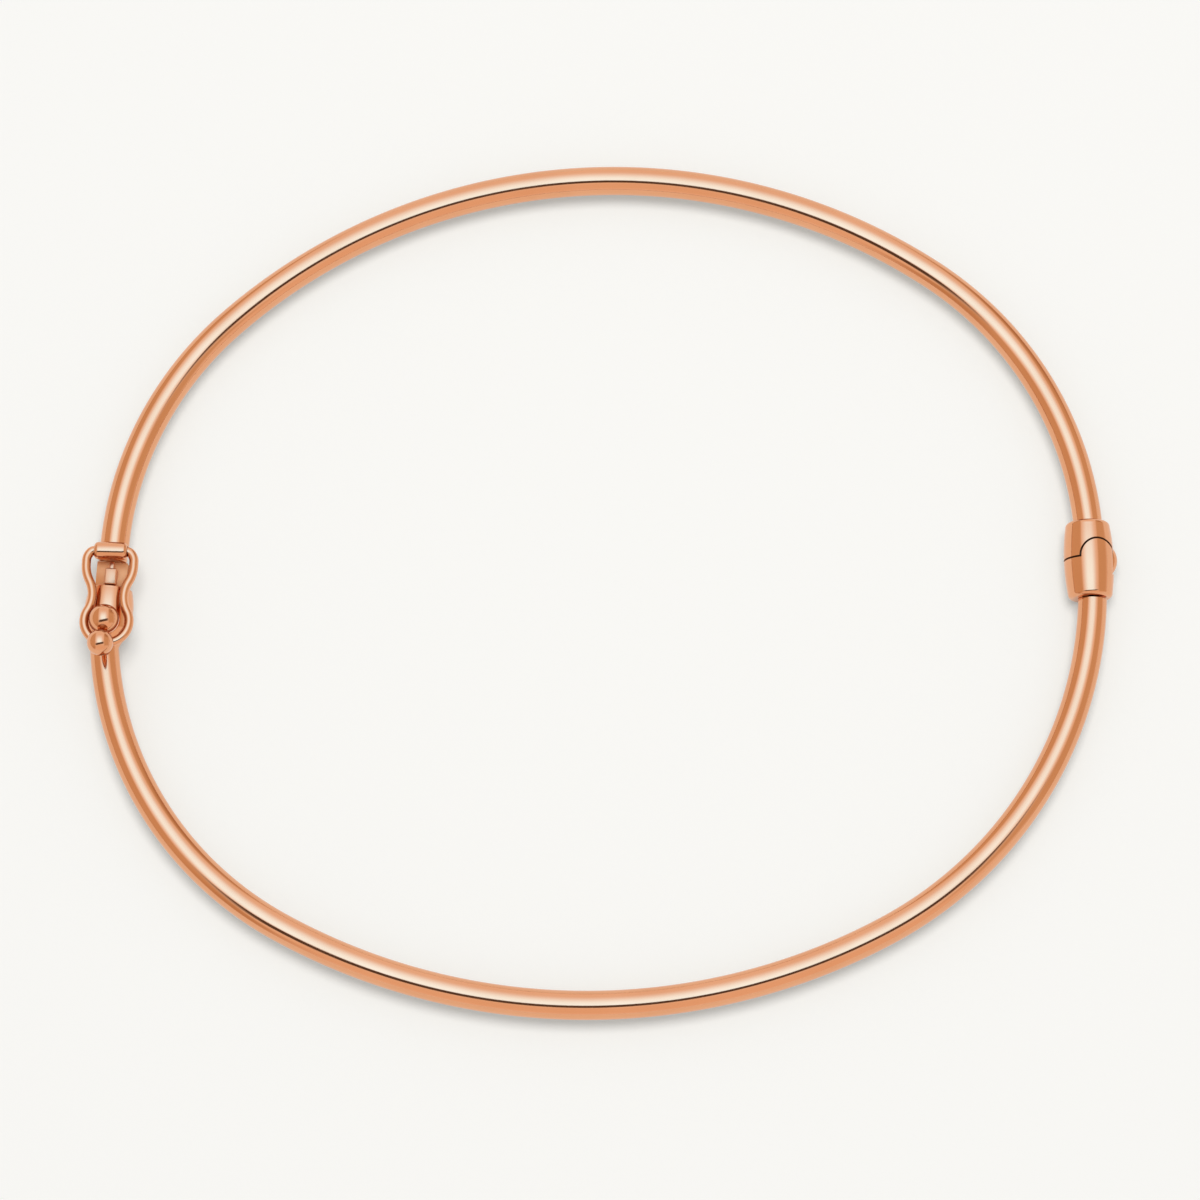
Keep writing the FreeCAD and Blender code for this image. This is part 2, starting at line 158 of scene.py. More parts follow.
def bent_path(start, heading, runs, step):
    """Points and headings along straight runs and tangent bends in a plane.

    A run is (bend radius or None, amount): a length if straight, else degrees to the left, or to the
    right if negative. A bend's points are its centre plus the radius turned through equal small angles.
    """
    point, heading = np.array(start, dtype=float), math.radians(heading)
    points, headings = [], []
    for bend, amount in runs:
        if bend is None:
            count = max(2, math.ceil(abs(amount) / step))
            t = np.arange(count) / count * amount
            points.append(point + t[:, None] * np.array([math.cos(heading), math.sin(heading)]))
            headings.append(np.full(count, heading))
            point = point + amount * np.array([math.cos(heading), math.sin(heading)])
            continue
        turn = math.radians(amount)
        side = math.copysign(1, turn)
        count = max(4, math.ceil(abs(turn) * bend / step))
        t = heading + np.arange(count) / count * turn
        centre = point + side * bend * np.array([-math.sin(heading), math.cos(heading)])
        points.append(centre - side * bend * np.stack([-np.sin(t), np.cos(t)], axis=1))
        headings.append(t)
        heading += turn
        point = centre - side * bend * np.array([-math.sin(heading), math.cos(heading)])
    points.append(point[None])
    headings.append(np.array([heading]))
    return np.concatenate(points), np.concatenate(headings)


def rounded_corner(start, corner, end, steps=7):
    """Points of a quarter-like curve from start to end that bulges to corner: a quadratic Bezier."""
    t = np.linspace(0, 1, steps)[:, None]
    start, corner, end = (np.array(p, dtype=float) for p in (start, corner, end))
    return (1 - t) ** 2 * start + 2 * t * (1 - t) * corner + t**2 * end


def three_point_arc(start, middle, end, steps):
    """Points of the circle through three points, at equal angles from start to end.

    The centre is where the perpendicular bisectors of the three chords meet.
    """
    (ax, ay), (bx, by), (cx, cy) = start, middle, end
    d = 2 * (ax * (by - cy) + bx * (cy - ay) + cx * (ay - by))
    a2, b2, c2 = ax**2 + ay**2, bx**2 + by**2, cx**2 + cy**2
    centre = np.array(
        [(a2 * (by - cy) + b2 * (cy - ay) + c2 * (ay - by)) / d,
         (a2 * (cx - bx) + b2 * (ax - cx) + c2 * (bx - ax)) / d]
    )
    radius = math.dist(start, centre)
    first = math.atan2(ay - centre[1], ax - centre[0])
    last = math.atan2(cy - centre[1], cx - centre[0])
    sweep = (last - first + math.pi) % (2 * math.pi) - math.pi
    t = first + np.linspace(0, 1, steps) * sweep
    return centre + radius * np.stack([np.cos(t), np.sin(t)], axis=1)


quarter = three_point_arc((1, 0), (math.sqrt(0.5), math.sqrt(0.5)), (0, 1), 33)
quarter_length = np.hypot(*np.diff(quarter, axis=0).T).sum()
print("a quarter of a 1 mm circle is", round(float(quarter_length), 3), "mm long")

# %% [markdown]
# Each arm is drawn tube, bent in three tangent bends so that the pair makes a flattened oval. The upper
# tube is open at the clasp, where the spring sits in it, so its surface starts inside the bore, turns
# over the softened lip and runs on as the outside.

# %% The tubes of the two arms
MIDDLE = 1.64  # height of the tubes' axis above the table
TUBE, BORE = 0.95, 0.65  # outer and inner radius
MOUTH_DEPTH, LIP_EASE = 1.3, 0.03
UPPER_PATH = {"start": (-31.847, 1.563), "heading": 84.16}
UPPER_RUNS = [(None, 1.66), (23.16, -41.45), (37.45, -76.94), (23.19, -52.2)]
LOWER_PATH = {"start": (-32.333, -3.487), "heading": -84.88}
LOWER_RUNS = [(None, 1.40), (22.77, 55.91), (40.92, 57.23), (26.15, 60.2)]


def tube_grid(path, runs, opening=None):
    """A circle of radius TUBE carried along a bent path, closed at the end by a ring of radius 0.

    With an opening depth the surface starts inside the bore and turns over the lip.
    """
    points, headings = bent_path(path["start"], path["heading"], runs, 0.3)
    radii = np.full(len(points), TUBE)
    radii[-1] = 0
    points[-1] = points[-2]
    first, heading = points[0], headings[0]
    forward = np.array([math.cos(heading), math.sin(heading)])
    mouth = np.array([(0.0, 0.0)])
    if opening:
        mouth = np.array(
            [(opening, 0), (opening, BORE), (LIP_EASE, BORE), (0, BORE + LIP_EASE), (0, TUBE - 0.05),
             (0.015, TUBE - 0.015)]
        )
    points = np.concatenate([first + mouth[:, :1] * forward, points[1:] if opening else points])
    radii = np.concatenate([mouth[:, 1], radii[1:] if opening else radii])
    headings = np.concatenate([np.full(len(mouth), heading), headings[1:] if opening else headings])
    centres = np.column_stack([points, np.full(len(points), MIDDLE)])
    sideways = np.column_stack([-np.sin(headings), np.cos(headings), np.zeros(len(headings))])
    upward = np.tile([0.0, 0.0, 1.0], (len(points), 1))
    return carried_circle(centres, sideways, upward, radii, 128), False


upper_tube = piece("upper_tube", [tube_grid(UPPER_PATH, UPPER_RUNS, opening=MOUTH_DEPTH)])
lower_tube = piece("lower_tube", [tube_grid(LOWER_PATH, LOWER_RUNS)])

# %% [markdown]
# The hinge is one slightly full barrel, sawn into two halves. Outer leaves of one half hold the middle
# leaf of the other on an upright pin. The barrel is turned from its profile. The saw cuts are made with
# Boolean modifiers and exact, upright cutters, because a cut through a curved skin is far easier to get
# right as a subtraction than as a trimmed grid.

# %% The barrel's profile


def placed(x, y, lean, z=0.0):
    """A frame at a point of the resting plane, turned about Z by lean degrees."""
    return Matrix.Translation((x, y, z)) @ Matrix.Rotation(math.radians(lean), 4, "Z")


def barrel_profile(half, full, end, rounding, rows=40):
    """(distance, radius) rows: a rounded corner, a shallow arc through the full radius, a corner again."""
    corner = half - rounding
    slant = rounding * math.sqrt(0.5)
    inner = end - rounding
    low_end = three_point_arc((-half, inner), (-corner - slant, inner + slant), (-corner, end), 9)
    belly = three_point_arc((-corner, end), (0, full), (corner, end), rows)
    high_end = low_end[::-1] * np.array([-1, 1])
    return np.concatenate([low_end, belly[1:-1], high_end])


HINGE = placed(32.20, 1.66, 1.27, MIDDLE)
HALF, FULL, END, ROUNDING = 2.57, 1.64, 1.47, 0.34
hinge_profile = np.concatenate([[(-HALF, 0)], barrel_profile(HALF, FULL, END, ROUNDING), [(HALF, 0)]])
print("hinge barrel", 2 * HALF, "mm long and", 2 * FULL, "mm thick")

# %% [markdown]
# A cutter is an outline seen from above, pushed up and down past the barrel. Most of the outlines are parts
# of circles about the pin, because each leaf must turn past its neighbour with an even gap.

# %% The cutters
PIN_OFFSET, PIN_RADIUS = 0.53, 0.37


def prism(name, matrix, outline, low, high):
    """An upright prism: the outline at two heights, a quad on each side and a lid on both ends."""
    outline = np.asarray(outline, dtype=float)
    count = len(outline)
    points = np.concatenate(
        [np.column_stack([outline, np.full(count, low)]), np.column_stack([outline, np.full(count, high)])]
    )
    ring = np.arange(count)
    beside = (ring + 1) % count
    sides = np.stack([ring, beside, beside + count, ring + count], axis=1).tolist()
    faces = sides + [ring[::-1].tolist(), (ring + count).tolist()]
    mesh = bpy.data.meshes.new(name)
    mesh.from_pydata((points * MM).tolist(), [], faces)
    made = bpy.data.objects.new(name, mesh)
    place = matrix.copy()
    place.translation = place.translation * MM
    mesh.transform(place)
    bpy.context.scene.collection.objects.link(made)
    return made


def circle(radius, first=0.0, last=360.0, steps=96):
    """Points on a circle about the pin, from one angle to another."""
    closed = abs(last - first) >= 360
    t = np.radians(np.linspace(first, last, steps, endpoint=not closed))
    return np.column_stack([PIN_OFFSET + radius * np.cos(t), radius * np.sin(t)])


def carved(target, cutters):
    """Applies one exact Boolean difference for each cutter, then removes the cutters."""
    for cutter in cutters:
        modifier = target.modifiers.new("cut", "BOOLEAN")
        modifier.object = cutter
        modifier.operation = "DIFFERENCE"
        modifier.solver = "EXACT"
    graph = bpy.context.evaluated_depsgraph_get()
    mesh = bpy.data.meshes.new_from_object(target.evaluated_get(graph))
    target.modifiers.clear()
    old, target.data = target.data, mesh
    mesh.name = target.name
    bpy.data.meshes.remove(old)
    for cutter in cutters:
        bpy.data.meshes.remove(cutter.data)
    finish_mesh(mesh)
    print(target.name, "carved to", len(mesh.polygons), "faces")


print("the pin stands", PIN_OFFSET, "mm beside the barrel's axis")

# %% [markdown]
# The upper half keeps the part of the barrel above the joint line. Round cuts about the pin make room for
# the outer leaves of the other half. Its own middle leaf is a disc about the pin with a crowned edge. It
# stands a little proud of the barrel, which gives the small bulge on the bangle's outer side.

# %% The upper half of the hinge
OUTER_LEAF, MIDDLE_LEAF, LEAF_HALF, LEAF_GAP, STOP_GAP = 1.13, 1.33, 0.55, 0.08, 0.13
CROWN = 0.35
FAR = 3.4  # past the barrel's skin on every side
half_gap = STOP_GAP / 2
upper_knuckle = piece("upper_knuckle", [(turned(HINGE, hinge_profile, 160), False)])
below_gap = [(-FAR, -FAR), (FAR, -FAR), (FAR, half_gap), (-FAR, half_gap)]
carved(
    upper_knuckle,
    [
        prism("cut_side", HINGE, below_gap, -FAR, FAR),
        prism("cut_near", HINGE, circle(OUTER_LEAF + STOP_GAP), LEAF_HALF, FAR),
        prism("cut_far", HINGE, circle(OUTER_LEAF + STOP_GAP), -FAR, -LEAF_HALF),
    ],
)
leaf_frame = HINGE @ Matrix.Translation((PIN_OFFSET, 0, 0)) @ Matrix.Rotation(math.radians(90), 4, "X")
leaf_edge = MIDDLE_LEAF - CROWN
crown = three_point_arc((-LEAF_HALF, leaf_edge), (0, MIDDLE_LEAF), (LEAF_HALF, leaf_edge), 25)
leaf_profile = np.concatenate([[(-LEAF_HALF, 0)], crown, [(LEAF_HALF, 0)]])
middle_leaf = piece("middle_leaf", [(turned(leaf_frame, leaf_profile), False)])

# %% [markdown]
# The lower half is the same barrel with the other side sawn away. Its cutter follows the two outer leaves,
# which end in a half circle about the pin, and a slot takes the middle leaf. The pin is a plain rod that
# stops under the near leaf, so only the far end shows.

# %% The lower half of the hinge and the pin
lower_knuckle = piece("lower_knuckle", [(turned(HINGE, hinge_profile, 160), False)])
meet = math.degrees(math.asin(half_gap / OUTER_LEAF))
around_leaf = circle(OUTER_LEAF, 180 + meet, -meet)
above_gap = np.concatenate([[(-FAR, -half_gap)], around_leaf, [(FAR, -half_gap), (FAR, FAR), (-FAR, FAR)]])
leaf_room = LEAF_HALF + LEAF_GAP
carved(
    lower_knuckle,
    [
        prism("cut_side", HINGE, above_gap, -FAR, FAR),
        prism("cut_middle", HINGE, circle(MIDDLE_LEAF + STOP_GAP), -leaf_room, leaf_room),
    ],
)
PIN_TOP, PIN_FOOT, PIN_EASE = 2.55, 0.30, 0.03
pin_profile = [
    (-PIN_TOP, 0), (-PIN_TOP, PIN_RADIUS), (-PIN_FOOT - PIN_EASE, PIN_RADIUS),
    (-PIN_FOOT, PIN_RADIUS - PIN_EASE), (-PIN_FOOT, 0),
]
pin_frame = HINGE @ Matrix.Translation((PIN_OFFSET, 0, -MIDDLE)) @ Matrix.Rotation(-math.pi / 2, 4, "X")
hinge_pin = piece("pin", [(turned(pin_frame, pin_profile), False)])

# %% [markdown]
# The socket that takes the spring tongue is a short turned sleeve. It starts with a rounded rim, swells to
# its full size and tapers into the lower tube. Its profile begins at the bottom of the bore and passes the
# lip, so that the opening is a real hole. The ball that the safety catch snaps over is soldered on top.

# %% The socket and its ball
SOCKET_FRAME = placed(-31.672, 1.958, -5.53, MIDDLE)
MOUTH, SWELL, SHOULDER, SOCKET_END = 2.26, 3.50, 4.70, 6.20
SOCKET, RIM, RIM_ROUNDING = 1.60, 1.42, 0.12
SOCKET_BORE, LIP, LIP_LENGTH, BOTTOM = 1.24, 1.05, 0.34, 4.75
half_run, half_drop = (SOCKET_END - SHOULDER) / 2, (SOCKET - TUBE) / 2
taper_t = np.linspace(0, 1, 25)[1:]
taper = np.column_stack(
    [-SHOULDER - 2 * half_run * taper_t, SOCKET - 2 * half_drop * (3 * taper_t**2 - 2 * taper_t**3)]
)
rim_start, rim_end = (-MOUTH, RIM - RIM_ROUNDING), (-MOUTH - RIM_ROUNDING, RIM)
swell_middle = (-(MOUTH + RIM_ROUNDING + SWELL) / 2, RIM + 0.7 * (SOCKET - RIM))
socket_profile = np.concatenate(
    [
        [(-BOTTOM, 0), (-BOTTOM, SOCKET_BORE)],
        [(-MOUTH - LIP_LENGTH, SOCKET_BORE), (-MOUTH - LIP_LENGTH, LIP)],
        [(-MOUTH - 0.04, LIP), (-MOUTH, LIP + 0.04)],
        rounded_corner(rim_start, (-MOUTH, RIM), rim_end),
        three_point_arc(rim_end, swell_middle, (-SWELL, SOCKET), 16)[1:],
        [(-SHOULDER, SOCKET)],
        taper,
        [(-SOCKET_END, 0)],
    ]
)
socket = piece("socket", [(turned(SOCKET_FRAME, socket_profile, 128), False)])

CATCH = placed(-31.85, 1.957, -1.94)


def ball_grid(matrix, centre, radius, rows=49, around=96):
    """A ball: at polar angle p the ring's place is -radius * cos p and its radius is radius * sin p."""
    p = np.linspace(0, np.pi, rows)
    upright = matrix @ Matrix.Translation(centre) @ Matrix.Rotation(-math.pi / 2, 4, "X")
    return turned(upright, np.column_stack([-radius * np.cos(p), radius * np.sin(p)]), around), False


snap_ball = piece("snap_ball", [ball_grid(CATCH, (-0.14, -4.76, 3.75), 1.00)])

# %% [markdown]
# The safety catch is a wire bent into a figure 8. Its ends lie in a drilled barrel that is soldered across
# the upper tube, and a bead on its tip is the grip for a fingernail. The barrel is a turned shape whose
# profile closes on itself through the bore, so that the hole for the wire is real.

# %% The catch barrel
CATCH_HEIGHT = 3.10
cross = CATCH @ Matrix.Translation((0, 0, CATCH_HEIGHT)) @ Matrix.Rotation(-math.pi / 2, 4, "Z")
barrel_half, barrel_full, barrel_end, barrel_bore = 1.10, 0.60, 0.575, 0.37
outside = barrel_profile(barrel_half, barrel_full, barrel_end, 0.30, 24)
outside = outside[outside[:, 1] > barrel_bore + 0.01]
inside = [(outside[-1][0], barrel_bore), (outside[0][0], barrel_bore)]
catch_barrel = piece("catch_barrel", [(turned(cross, np.concatenate([outside, inside])), True)])

# %% [markdown]
# The wire is one closed path in a plane that rises a little towards the tip, and both halves come from the
# same list of runs, mirrored. Only the widths at the shoulder, the waist and the lobe are measured. Bends
# that touch give the rest: a step sideways is two equal bends of opposite turn, and the flare ends where its
# circle touches the lobe's circle.

# %% The bends of the wire
WIRE, RISE = 0.30, 4.50
CORNER_START, CORNER_BEND, CORNER_TURN = 1.06, 0.34, 45
SHOULDER_WIDTH, SHOULDER_RUN = 1.55, 0.30
WAIST, WAIST_PLACE, LOBE, LOBE_PLACE = 1.03, 3.12, 1.47, 4.84
corner_out, corner_down = math.sin(math.radians(CORNER_TURN)), math.cos(math.radians(CORNER_TURN))
wide_bend = (SHOULDER_WIDTH - CORNER_START - CORNER_BEND * corner_out) / (1 - corner_out)
shoulder_place = CORNER_BEND * (1 - corner_down) + wide_bend * corner_down + SHOULDER_RUN
step_in, step_down = SHOULDER_WIDTH - WAIST, WAIST_PLACE - shoulder_place
step_turn = math.degrees(2 * math.atan2(step_in, step_down))
step_bend = step_down / (2 * math.sin(math.radians(step_turn)))
drop = LOBE_PLACE - WAIST_PLACE
flare_bend = (drop**2 + WAIST**2 - LOBE**2) / (2 * (LOBE - WAIST))
flare_turn = math.degrees(math.asin(drop / (flare_bend + LOBE)))
half_runs = [
    (None, CORNER_START), (CORNER_BEND, -CORNER_TURN), (wide_bend, CORNER_TURN - 90), (None, SHOULDER_RUN),
    (step_bend, -step_turn), (step_bend, step_turn), (flare_bend, flare_turn), (LOBE, -90 - flare_turn),
]
wire_points, wire_headings = bent_path((0, 0), 0, half_runs + half_runs[::-1], 0.05)
wire_points, wire_headings = wire_points[:-1], wire_headings[:-1]
print("wire bends of", round(wide_bend, 2), round(step_bend, 2), round(flare_bend, 2), LOBE, "mm")

# %% [markdown]
# The path so far lies flat. A frame that leans by the catch's rise carries it into space, and a circle of
# the wire's radius follows it all the way round. The bead is a ball that overlaps the wire, as solder would
# join the two.

# %% The wire and its bead
rising = Matrix.Rotation(math.radians(-RISE), 4, "X")
plane = np.array(CATCH @ Matrix.Translation((0, 0, CATCH_HEIGHT)) @ rising)
flat = np.column_stack([wire_points, np.zeros(len(wire_points))])
centres = flat @ plane[:3, :3].T + plane[:3, 3]
left = np.column_stack([-np.sin(wire_headings), np.cos(wire_headings), np.zeros(len(wire_headings))])
wire_grid = carried_circle(
    centres, left @ plane[:3, :3].T, np.tile(plane[:3, 2], (len(centres), 1)), np.full(len(centres), WIRE), 48
)
catch_wire = piece("catch_wire", [(wire_grid, True)])
catch_bead = piece("catch_bead", [ball_grid(CATCH, (-0.24, -6.50, 4.50), 0.86)])

# %% [markdown]
# The spring is a strip of the same metal, folded over and left satin. Its flat parts are outlines pushed
# up to the strip's thickness, and a Bevel modifier softens their cut edges. Grids would do as well, but a
# flat part is quicker and cleaner as an outline.

# %% Outlines of the spring
SPRING_X, STRIP = 0.16, 0.25
STRIP_LOW, LEAF_TOP = 1.25, 2.35
BROAD, TONGUE = 1.00, 0.62
STRIP_START, LEAF_START, SHOULDER_END, FOLD, FOLD_GAP = 0.45, 0.56, 2.14, 4.00, 0.06
SPRING = placed(-31.895, 1.958, -4.16)


def strip_outline(start, end):
    """The strip from above: broad outside the socket and narrow inside it."""
    return [
        (SPRING_X - BROAD, -start), (SPRING_X - BROAD, -SHOULDER_END), (SPRING_X - TONGUE, -SHOULDER_END),
        (SPRING_X - TONGUE, -end), (SPRING_X + TONGUE, -end), (SPRING_X + TONGUE, -SHOULDER_END),
        (SPRING_X + BROAD, -SHOULDER_END), (SPRING_X + BROAD, -start),
    ]


def rectangle(half_width, start, end):
    """A rectangle across the middle of the spring."""
    return [
        (SPRING_X - half_width, -start), (SPRING_X - half_width, -end),
        (SPRING_X + half_width, -end), (SPRING_X + half_width, -start),
    ]


print("strip", 2 * BROAD, "mm broad outside the socket and", 2 * TONGUE, "mm inside")

# %% [markdown]
# Cut metal never has a perfectly sharp edge, and only a rounded edge catches a thin line of light. Each flat
# part gets a small bevel of its own before the parts are joined into one piece.

# %% Soft edges and joined parts


def softened(made, width=0.02, segments=2):
    """Bevels the edges of a flat-sided piece and keeps its faces flat."""
    bevel = made.modifiers.new("soft edges", "BEVEL")
    bevel.width = width * MM
    bevel.segments = segments
    bevel.limit_method = "ANGLE"
    bevel.harden_normals = True
    finish_mesh(made.data)
    return made


def joined(name, parts):
    """One object made of several, with the modifiers of each applied."""
    graph = bpy.context.evaluated_depsgraph_get()
    work = bmesh.new()
    for part in parts:
        mesh = bpy.data.meshes.new_from_object(part.evaluated_get(graph))
        work.from_mesh(mesh)
        bpy.data.meshes.remove(mesh)
    for part in parts:
        bpy.data.meshes.remove(part.data)
    mesh = bpy.data.meshes.new(name)
    work.to_mesh(mesh)
    work.free()
    mesh.shade_smooth()
    mesh.set_sharp_from_angle(angle=SHARP)
    made = bpy.data.objects.new(name, mesh)
    bpy.context.scene.collection.objects.link(made)
    print(name, len(mesh.polygons), "faces")
    return made


print("joined pieces keep edges sharper than", round(math.degrees(SHARP)), "degrees crisp")

# %% [markdown]
# The tongue is a round plug in the mouth of the upper tube, the lower leaf of the strip and its fold. The
# fold is half a ring in side view: an outer and an inner half circle at each edge of the strip, with the
# two cut edges filled.

# %% The spring tongue
PLUG, PLUG_REACH, PLUG_DEPTH, PLUG_EASE = 0.62, 0.10, 1.20, 0.03
plug_frame = placed(*UPPER_PATH["start"], UPPER_PATH["heading"] - 90, MIDDLE)
plug_profile = [
    (-PLUG_REACH, 0), (-PLUG_REACH, PLUG - PLUG_EASE), (PLUG_EASE - PLUG_REACH, PLUG),
    (PLUG_DEPTH - PLUG_EASE, PLUG), (PLUG_DEPTH, PLUG - PLUG_EASE), (PLUG_DEPTH, 0),
]
plug = piece("plug", [(turned(plug_frame, plug_profile), False)])
lower_strip = softened(
    prism("lower_strip", SPRING, strip_outline(STRIP_START, FOLD), STRIP_LOW, STRIP_LOW + STRIP)
)
fold_radius, fold_middle = (LEAF_TOP - STRIP_LOW) / 2, (LEAF_TOP + STRIP_LOW) / 2
half_turn = np.radians(np.linspace(-90, 90, 33))
side_view = np.concatenate(
    [
        np.column_stack([-FOLD - radius * np.cos(t), fold_middle + radius * np.sin(t)])
        for radius, t in ((fold_radius, half_turn), (fold_radius - STRIP, half_turn[::-1]))
    ]
)
fold_points = np.stack(
    [np.column_stack([np.full(len(side_view), x), side_view]) for x in (SPRING_X - TONGUE, SPRING_X + TONGUE)]
)
spring_matrix = np.array(SPRING)
fold_grid = fold_points @ spring_matrix[:3, :3].T + spring_matrix[:3, 3]
fold = piece("fold", [(fold_grid, False)])
edges = bmesh.new()
edges.from_mesh(fold.data)
bmesh.ops.holes_fill(edges, edges=edges.edges, sides=0)
bmesh.ops.recalc_face_normals(edges, faces=edges.faces)
edges.to_mesh(fold.data)
edges.free()
tongue = joined("tongue", [plug, lower_strip, fold])

# %% [markdown]
# The upper leaf is the one that springs. The raised block with its short neck is what the finger presses,
# and the small tooth behind it latches under the lip of the socket.

# %% The thumb leaf
THUMB, THUMB_START, THUMB_END, THUMB_TOP = 0.39, 1.10, 2.19, 3.00
NECK, NECK_START, NECK_TOP = 0.15, 0.62, 2.72
TOOTH, TOOTH_START, TOOTH_END, TOOTH_TOP = 0.30, 2.68, 2.98, 2.77
ROOT = LEAF_TOP - 0.1  # raised parts start inside the leaf
leaf = softened(
    prism("leaf", SPRING, strip_outline(LEAF_START, FOLD - FOLD_GAP), LEAF_TOP - STRIP, LEAF_TOP)
)
thumb_piece = softened(
    prism("thumb_piece", SPRING, rectangle(THUMB, THUMB_START, THUMB_END), ROOT, THUMB_TOP), 0.10, 4
)
neck_piece = softened(
    prism("neck_piece", SPRING, rectangle(NECK, NECK_START, THUMB_START + 0.18), ROOT, NECK_TOP), 0.03
)
tooth = softened(prism("tooth", SPRING, rectangle(TOOTH, TOOTH_START, TOOTH_END), ROOT, TOOTH_TOP), 0.03)
thumb_strip = joined("thumb_strip", [leaf, tooth])
thumb_grip = joined("thumb_grip", [thumb_piece, neck_piece])

# %% [markdown]
# Polished rose gold is a metal with a warm, copper-rich colour and an almost mirror surface. What keeps a
# polish from looking computed is small: hazy patches where the buffing wheel pressed differently, and very
# fine lines that it left. Both come from noise that is read in the object's own coordinates.

# %% Nodes for the metal
ROSE = (0.83, 0.40, 0.215)


def new_material(name):
    """An empty node material with its Principled shader."""
    material = bpy.data.materials.new(name)
    material.use_nodes = True
    nodes, links = material.node_tree.nodes, material.node_tree.links
    return material, nodes, links, nodes["Principled BSDF"]


def noise(nodes, links, place, scale, stretch=(1, 1, 1), detail=3.0):
    """Noise of a given scale, stretched along an axis by a Mapping node."""
    mapping = nodes.new("ShaderNodeMapping")
    mapping.inputs["Scale"].default_value = stretch
    links.new(place, mapping.inputs["Vector"])
    texture = nodes.new("ShaderNodeTexNoise")
    texture.inputs["Scale"].default_value = scale
    texture.inputs["Detail"].default_value = detail
    links.new(mapping.outputs["Vector"], texture.inputs["Vector"])
    return texture.outputs["Fac"]


def spread(nodes, links, value, low, high):
    """Spreads a value in 0.3 to 0.7 over a new range."""
    span = nodes.new("ShaderNodeMapRange")
    span.inputs["From Min"].default_value = 0.3
    span.inputs["From Max"].default_value = 0.7
    span.inputs["To Min"].default_value = low
    span.inputs["To Max"].default_value = high
    links.new(value, span.inputs["Value"])
    return span.outputs["Result"]


print("rose gold reflects red, green and blue light by", ROSE)

# %% [markdown]
# One recipe serves four finishes. The polish mirrors the studio. The thumb piece is satin, because fingers
# rub it. The spring is left as rolled, so it scatters light and shows little of the studio. The faces that
# the saw left inside the hinge are rough, and their colour is darkened as painted shade.

# %% The four finishes


def gold(name, rough_low, rough_high, line_scale, line_depth, stretch, color=ROSE, metallic=1.0):
    """Rose gold: noise in patches shifts roughness and tone, and finer noise gives buffing lines as bump."""
    material, nodes, links, shader = new_material(name)
    place = nodes.new("ShaderNodeTexCoord").outputs["Object"]
    patches = noise(nodes, links, place, 260)
    lines = noise(nodes, links, place, line_scale, stretch, 2.0)
    tone = nodes.new("ShaderNodeMix")
    tone.data_type = "RGBA"
    tone.inputs["A"].default_value = (*color, 1)
    tone.inputs["B"].default_value = (color[0] * 0.96, color[1] * 0.93, color[2] * 0.90, 1)
    links.new(spread(nodes, links, patches, 0, 1), tone.inputs["Factor"])
    links.new(tone.outputs["Result"], shader.inputs["Base Color"])
    shader.inputs["Metallic"].default_value = metallic
    shader.inputs["Specular IOR Level"].default_value = 0.5 * metallic
    links.new(spread(nodes, links, patches, rough_low, rough_high), shader.inputs["Roughness"])
    bump = nodes.new("ShaderNodeBump")
    bump.inputs["Distance"].default_value = line_depth * MM
    bump.inputs["Strength"].default_value = 0.5
    links.new(lines, bump.inputs["Height"])
    links.new(bump.outputs["Normal"], shader.inputs["Normal"])
    return material


# The second colour is darkened as painted shade for the sawn faces in the hinge's crevices.
DULL_ROSE, SAWN_SHADE_ROSE = (0.95, 0.44, 0.20), (0.48, 0.21, 0.10)
polish = gold("polished_rose_gold", 0.07, 0.13, 2500, 0.0006, (1, 1, 1))
satin = gold("satin_rose_gold", 0.26, 0.40, 9000, 0.004, (1, 0.15, 1))
dull = gold("dull_rose_gold", 0.42, 0.55, 6000, 0.006, (1, 0.3, 1), DULL_ROSE, 0.4)
sawn_shade = gold("sawn_shaded_rose_gold", 0.55, 0.75, 9000, 0.008, (1, 1, 0.2), SAWN_SHADE_ROSE, 0.8)
print("finishes", [finish.name for finish in (polish, satin, dull, sawn_shade)])

# %% [markdown]
# Now every piece takes its finish and is attached to the moving body that carries it, and the CAD solid that
# it stands for is hidden. Soldered metal moves as one, so several pieces ride on the same body and hide the
# same solid.

# %% Bodies and finishes
RIDES = [
    (upper_tube, "upper_half", "upper_arm", polish),
    (upper_knuckle, "upper_half", "upper_arm", polish),
    (middle_leaf, "upper_half", "upper_arm", polish),
    (catch_barrel, "upper_half", "upper_arm", polish),
    (tongue, "upper_half", "spring_tongue", dull),
    (lower_tube, "lower_half", "lower_arm", polish),
    (lower_knuckle, "lower_half", "lower_arm", polish),
    (socket, "lower_half", "lower_arm", polish),
    (snap_ball, "lower_half", "lower_arm", polish),
    (hinge_pin, "lower_half", "hinge_pin", polish),
    (catch_wire, "catch", "catch_loop", polish),
    (catch_bead, "catch", "catch_loop", polish),
    (thumb_strip, "thumb", "thumb_leaf", dull),
    (thumb_grip, "thumb", "thumb_leaf", satin),
]
for made, body, node, material in RIDES:
    made.data.materials.clear()
    made.data.materials.append(material)
    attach(made, body)
    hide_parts(node)
print(len(RIDES), "pieces ride on", sorted({row[1] for row in RIDES}))
